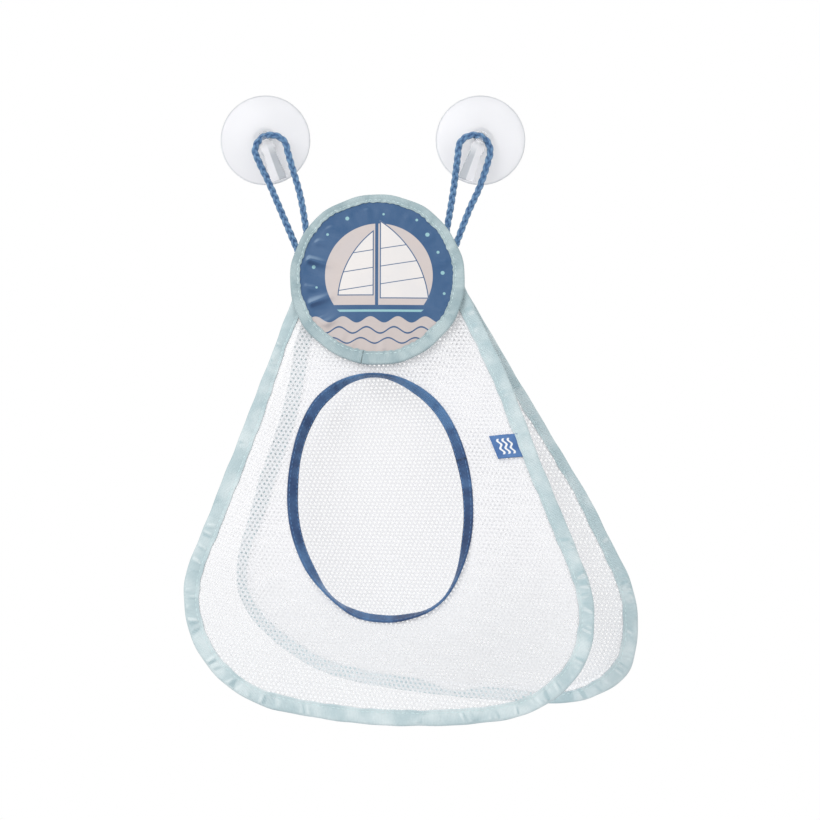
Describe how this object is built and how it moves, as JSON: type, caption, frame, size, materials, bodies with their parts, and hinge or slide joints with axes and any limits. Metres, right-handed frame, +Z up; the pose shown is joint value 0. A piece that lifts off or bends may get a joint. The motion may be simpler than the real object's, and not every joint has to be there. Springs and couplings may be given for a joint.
{
  "type": "bath toy organizer",
  "caption": "Hanging mesh bag for bath toys with a round fabric head, a wide bound mouth, a gusseted pocket, cord loops and suction cups with hooks.",
  "frame": {"origin": "on the wall plane, midway between the suction cups' centres", "axes": "+Z up, +X to the right seen from the front, +Y into the wall; the front faces -Y"},
  "size_m": [0.2973, 0.0749, 0.4128],
  "materials": {
    "clear_pvc": "clear soft moulded, glossy",
    "clear_plastic": "clear hard moulded, glossy",
    "cord": "plaited cord",
    "head_print": "smooth printed woven",
    "head_backing": "plain woven",
    "binding_tape": "woven tape, folded and stitched",
    "mesh": "open knitted net",
    "webbing": "ribbed webbing",
    "tag": "woven tag, folded"
  },
  "bodies": {
    "cups": {"suction_cup_left": "clear_pvc", "suction_cup_right": "clear_pvc"},
    "left_hook": {"hook_left": "clear_plastic"},
    "right_hook": {"hook_right": "clear_plastic"},
    "loops": {"cord_left": "cord", "cord_right": "cord"},
    "bag": {"head_face": "head_print", "head_backing": "head_backing", "head_binding": "binding_tape", "front_panel": "mesh", "front_binding": "binding_tape", "opening_binding": "webbing", "side_tag": "tag", "top_binding": "binding_tape", "gusset": "mesh"},
    "back": {"back_panel": "mesh", "back_binding": "binding_tape"}
  },
  "joints": [
    {"name": "hook_left_turn", "type": "hinge", "parent": "cups", "child": "left_hook", "pos_m": [-0.072, 0, 0], "axis": [0, 1, 0], "range_deg": [-6, 6]},
    {"name": "hook_right_turn", "type": "hinge", "parent": "cups", "child": "right_hook", "pos_m": [0.072, 0, 0], "axis": [0, 1, 0], "range_deg": [-6, 6]},
    {"name": "loops_lift", "type": "slide", "parent": "cups", "child": "loops", "axis": [0, -0.2588, 0.9659], "range_m": [0, 0.045], "deforming": ["cord_left", "cord_right"]},
    {"name": "bag_swing", "type": "hinge", "parent": "loops", "child": "bag", "pos_m": [0, -0.0135, 0.002], "axis": [-1, 0, 0], "range_deg": [0, 70], "deforming": ["cord_left", "cord_right"]},
    {"name": "pocket_fold", "type": "hinge", "parent": "bag", "child": "back", "pos_m": [0, -0.01367, -0.083], "axis": [-1, 0, 0], "range_deg": [0, 10.5], "deforming": ["gusset"]}
  ]
}
